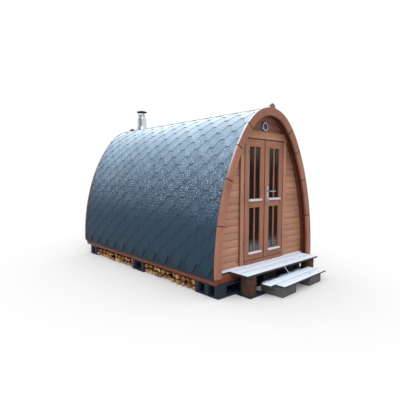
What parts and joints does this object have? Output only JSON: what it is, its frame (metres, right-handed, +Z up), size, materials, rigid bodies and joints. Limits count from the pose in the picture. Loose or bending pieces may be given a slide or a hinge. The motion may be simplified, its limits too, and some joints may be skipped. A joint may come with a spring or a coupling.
{
  "type": "arched timber sauna cabin",
  "caption": "Arched garden sauna cabin with shingled shell, recessed end walls, glazed double doors, flue, deck and step on pallets.",
  "frame": {"origin": "on the ground, in the middle of the footprint of cabin, deck and step", "axes": "+Y from the doors to the rear wall, +Z up, +X to the right of someone facing the doors"},
  "size_m": [2.4024, 4.62, 3.131],
  "materials": {
    "arch_wood": "stained boards, satin",
    "door_wood": "stained joinery, satin",
    "wall_wood": "stained matchboard, satin",
    "stave_wood": "stained staves, matt",
    "floor_wood": "planed boards",
    "sill_wood": "stained, dark and damp",
    "shingle": "mineral granules, frosted near the ridge",
    "base_wood": "dark painted boards",
    "grey_wood": "weathered grey",
    "frosted_wood": "boards under white frost",
    "log_wood": "bark",
    "firewood": "split, raw",
    "flue_steel": "polished",
    "cap_black": "black",
    "hinge_steel": "zinc plated",
    "handle_steel": "satin",
    "vent_metal": "satin ring",
    "vent_blue": "dark blue disc",
    "glass": "clear pane, dark inside"
  },
  "bodies": {
    "cabin": {"front_arch": "arch_wood", "front_crown": "arch_wood", "rear_arch": "arch_wood", "rear_crown": "arch_wood", "shell_left": "stave_wood", "shell_crown": "stave_wood", "shell_right": "stave_wood", "shingles_left": "shingle", "shingles_right": "shingle", "front_trim": "stave_wood", "rear_trim": "stave_wood", "front_wall_left": "wall_wood", "front_wall_right": "wall_wood", "front_gable": "wall_wood", "rear_wall": "wall_wood", "floor": "floor_wood", "floor_joists": "sill_wood", "skid_left": "sill_wood", "skid_right": "sill_wood", "end_sills": "sill_wood", "door_frame": "door_wood", "door_casing": "door_wood", "threshold": "door_wood", "frame_hinges": "hinge_steel", "vent_ring": "vent_metal", "vent_disc": "vent_blue", "chimney_pipe": "flue_steel", "chimney_cap": "cap_black", "chimney_flashing": "flue_steel", "base_boards": "base_wood", "base_blocks": "base_wood", "base_bottoms": "base_wood", "firewood_front": "firewood", "firewood_rear": "firewood", "deck_boards": "frosted_wood", "log_stumps": "log_wood", "stump_board": "base_wood", "step_boards": "frosted_wood", "step_pallet_top": "grey_wood", "step_pallet_legs": "grey_wood", "lath": "frosted_wood"},
    "left_door": {"left_leaf": "door_wood", "left_glass": "glass", "left_ledges": "frosted_wood", "left_hinges": "hinge_steel"},
    "right_door": {"right_leaf": "door_wood", "right_glass": "glass", "right_ledges": "frosted_wood", "right_hinges": "hinge_steel", "handle_plate": "handle_steel"},
    "handle": {"handle_lever": "handle_steel"}
  },
  "joints": [
    {"name": "left_door_swing", "type": "hinge", "parent": "cabin", "child": "left_door", "pos_m": [-0.4805, -1.6015, 1.3], "axis": [0, 0, -1], "range_deg": [0, 100]},
    {"name": "right_door_swing", "type": "hinge", "parent": "cabin", "child": "right_door", "pos_m": [0.4805, -1.6015, 1.3], "axis": [0, 0, 1], "range_deg": [0, 100]},
    {"name": "handle_turn", "type": "hinge", "parent": "right_door", "child": "handle", "pos_m": [0.068, -1.6006, 1.4255], "axis": [0, 1, 0], "range_deg": [0, 45], "stiffness_Nm_per_rad": 1.5, "springref_deg": -20.05}
  ]
}
